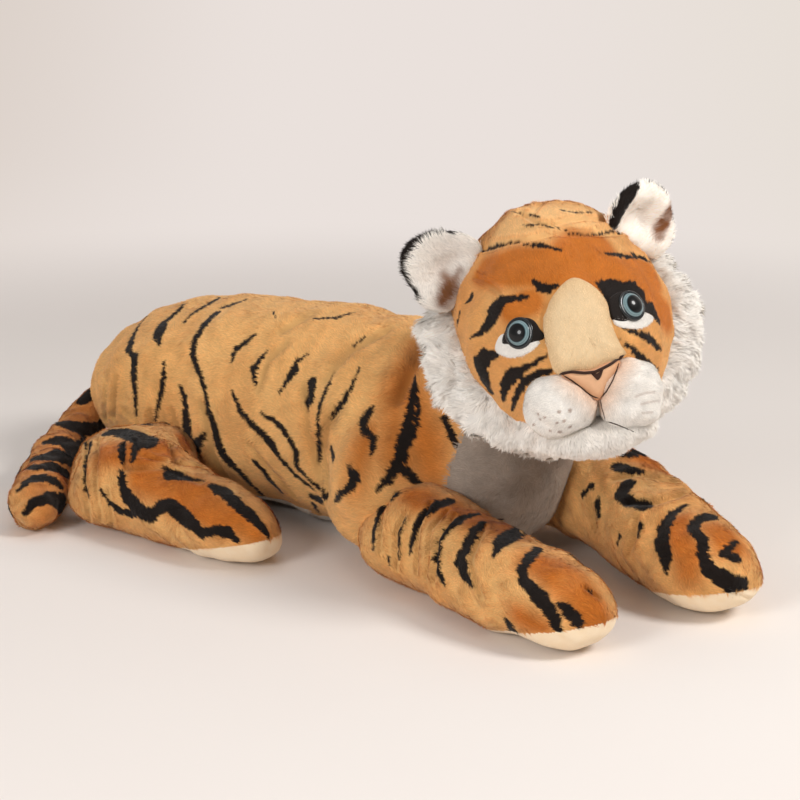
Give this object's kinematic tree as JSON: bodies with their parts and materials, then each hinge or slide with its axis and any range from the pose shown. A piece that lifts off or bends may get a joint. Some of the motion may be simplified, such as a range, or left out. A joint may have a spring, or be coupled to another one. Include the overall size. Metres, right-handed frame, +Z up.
{
  "type": "plush tiger",
  "caption": "Large stuffed toy tiger lying on its belly with its head turned aside, in striped tan plush with a white ruff, muzzle and belly.",
  "frame": {"origin": "on the floor under the belly, in the middle plane of the body", "axes": "+X towards the front paws, +Y to the tiger's left, +Z up"},
  "size_m": [0.9307, 0.5689, 0.4126],
  "materials": {
    "striped_plush": "short pile, tan to orange with dark stripes",
    "white_plush": "white pile",
    "cream_plush": "short cream pile",
    "sole_fabric": "smooth cream fabric",
    "nose_suede": "pink-brown suede",
    "dark_plush": "black pile",
    "filling": "polyester fibre",
    "clear_eye": "polished",
    "dark_plastic": "gloss"
  },
  "bodies": {
    "torso": {"torso_cover": "striped_plush", "belly_panel": "white_plush", "chest_panel": "white_plush", "torso_filling": "filling"},
    "head": {"chin": "white_plush", "eye_base_left": "dark_plastic", "eye_base_right": "dark_plastic", "eye_dome_left": "clear_eye", "eye_dome_right": "clear_eye", "eye_lid_left": "dark_plush", "eye_lid_right": "dark_plush", "eye_patch_left": "white_plush", "eye_patch_right": "white_plush", "eye_washer_left": "dark_plastic", "eye_washer_right": "dark_plastic", "face_cover": "striped_plush", "head_back_cover": "striped_plush", "head_filling": "filling", "muzzle_left": "white_plush", "muzzle_right": "white_plush", "nose": "nose_suede", "nose_bridge": "cream_plush", "ruff_left": "white_plush", "ruff_right": "white_plush"},
    "tail": {"tail_cover": "striped_plush", "tail_filling": "filling"},
    "ear_left": {"ear_front_left": "white_plush", "ear_back_left": "striped_plush"},
    "front_leg_left": {"front_leg_left_cover": "striped_plush", "front_leg_left_sole": "sole_fabric", "front_leg_left_filling": "filling"},
    "hind_leg_left": {"hind_leg_left_cover": "striped_plush", "hind_leg_left_sole": "sole_fabric", "hind_leg_left_filling": "filling"},
    "ear_right": {"ear_front_right": "white_plush", "ear_back_right": "striped_plush"},
    "front_leg_right": {"front_leg_right_cover": "striped_plush", "front_leg_right_sole": "sole_fabric", "front_leg_right_filling": "filling"},
    "hind_leg_right": {"hind_leg_right_cover": "striped_plush", "hind_leg_right_sole": "sole_fabric", "hind_leg_right_filling": "filling"}
  },
  "joints": [
    {"name": "head_turn", "type": "hinge", "parent": "torso", "child": "head", "pos_m": [0.326, -0.023, 0.267], "axis": [0, 0, 1], "range_deg": [-12, 12], "stiffness_Nm_per_rad": 1},
    {"name": "front_leg_right_swing", "type": "hinge", "parent": "torso", "child": "front_leg_right", "pos_m": [0.14, -0.072, 0.08], "axis": [0, 0, -1], "range_deg": [0, 18], "stiffness_Nm_per_rad": 0.6},
    {"name": "front_leg_left_swing", "type": "hinge", "parent": "torso", "child": "front_leg_left", "pos_m": [0.14, 0.072, 0.08], "axis": [0, 0, 1], "range_deg": [0, 18], "stiffness_Nm_per_rad": 0.6},
    {"name": "hind_leg_right_swing", "type": "hinge", "parent": "torso", "child": "hind_leg_right", "pos_m": [-0.19, -0.096, 0.066], "axis": [0, 0, 1], "range_deg": [0, 14], "stiffness_Nm_per_rad": 0.6},
    {"name": "hind_leg_left_swing", "type": "hinge", "parent": "torso", "child": "hind_leg_left", "pos_m": [-0.19, 0.096, 0.066], "axis": [0, 0, -1], "range_deg": [0, 14], "stiffness_Nm_per_rad": 0.6},
    {"name": "tail_swing", "type": "hinge", "parent": "torso", "child": "tail", "pos_m": [-0.385, -0.022, 0.098], "axis": [0, 0, -1], "range_deg": [0, 25], "stiffness_Nm_per_rad": 0.3},
    {"name": "ear_left_fold", "type": "hinge", "parent": "head", "child": "ear_left", "pos_m": [0.3641, 0.03632, 0.36604], "axis": [0.2029, 0.8037, -0.5594], "range_deg": [-15, 15], "stiffness_Nm_per_rad": 0.2},
    {"name": "ear_right_fold", "type": "hinge", "parent": "head", "child": "ear_right", "pos_m": [0.2524, -0.09964, 0.32607], "axis": [0.2628, 0.4179, 0.8697], "range_deg": [-15, 15], "stiffness_Nm_per_rad": 0.2}
  ]
}
